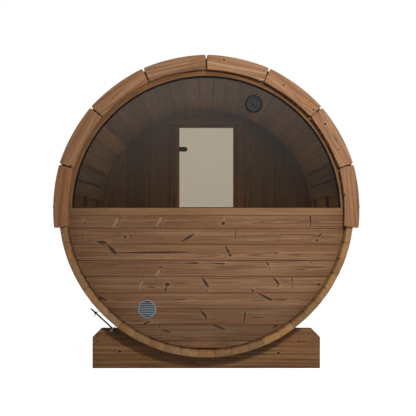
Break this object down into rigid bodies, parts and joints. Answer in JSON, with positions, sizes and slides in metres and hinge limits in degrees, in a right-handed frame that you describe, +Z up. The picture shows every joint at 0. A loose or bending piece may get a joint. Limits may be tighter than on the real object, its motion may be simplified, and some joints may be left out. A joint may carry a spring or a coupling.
{
  "type": "barrel sauna",
  "caption": "Wooden barrel sauna on two cradles, with a half-moon rear window, a trimmed shingle roof and a glass door in a recessed front wall.",
  "frame": {"origin": "centre of the footprint on the ground, midway between the two stave ends and under the barrel's axis", "axes": "+Z up; the barrel's axis runs along Y, the rear window faces -Y and the glass door faces +Y; +X is to the right seen from behind"},
  "size_m": [2.086, 1.8566, 2.15],
  "materials": {
    "stave_wood": "thermally treated softwood, planed and oiled",
    "wall_wood": "thermally treated softwood boards, planed",
    "sill_wood": "thermally treated softwood, planed",
    "trim_wood": "thermally treated softwood, sawn curves with rounded corners",
    "frame_wood": "thermally treated softwood, planed",
    "handle_wood": "thermally treated softwood, rounded and sanded",
    "inner_wood": "thermally treated softwood, planed",
    "cradle_wood": "thermally treated softwood timber, sawn",
    "tinted_glass": "bronze tinted toughened glass",
    "door_glass": "frosted toughened glass",
    "gasket_rubber": "black rubber",
    "vent_plastic": "dark grey moulded plastic",
    "vent_aluminium": "satin aluminium",
    "black_metal": "black powder coat",
    "hoop_steel": "black coated steel strap with zinc plated lugs",
    "rod_steel": "black coated threaded rod",
    "roof_bitumen": "mineral granule bitumen shingles",
    "drip_metal": "black coated folded sheet metal"
  },
  "bodies": {
    "cabin": {"staves_bottom": "stave_wood", "staves_lower_left": "stave_wood", "staves_upper_left": "stave_wood", "staves_top": "stave_wood", "staves_upper_right": "stave_wood", "staves_lower_right": "stave_wood", "rear_wall": "wall_wood", "window_sill": "sill_wood", "window_frame": "sill_wood", "window_gasket": "gasket_rubber", "window_glass": "tinted_glass", "glass_vent": "vent_plastic", "wall_vent": "vent_aluminium", "rear_trim_left": "trim_wood", "rear_trim_right": "trim_wood", "front_trim_left": "trim_wood", "front_trim_right": "trim_wood", "front_wall_left": "wall_wood", "front_wall_right": "wall_wood", "front_wall_header": "wall_wood", "front_wall_base": "wall_wood", "door_frame": "frame_wood", "door_casing": "frame_wood", "hinge_brackets": "black_metal", "left_backrest": "inner_wood", "right_backrest": "inner_wood", "left_wall_cleat": "inner_wood", "right_wall_cleat": "inner_wood", "duckboard": "inner_wood", "hoop_rear": "hoop_steel", "hoop_middle": "hoop_steel", "hoop_front": "hoop_steel", "tie_rod_rear": "rod_steel", "tie_rod_middle": "rod_steel", "tie_rod_front": "rod_steel", "roof_left": "roof_bitumen", "roof_right": "roof_bitumen", "drip_edge_left": "drip_metal", "drip_edge_right": "drip_metal", "cradle_rear": "cradle_wood", "cradle_front": "cradle_wood"},
    "door": {"door_glass": "door_glass", "door_hinges": "black_metal", "door_handle": "handle_wood"}
  },
  "joints": [
    {"name": "door_hinge", "type": "hinge", "parent": "cabin", "child": "door", "pos_m": [-0.272, 0.675, 1.104], "axis": [0, 0, 1], "range_deg": [0, 100]}
  ]
}
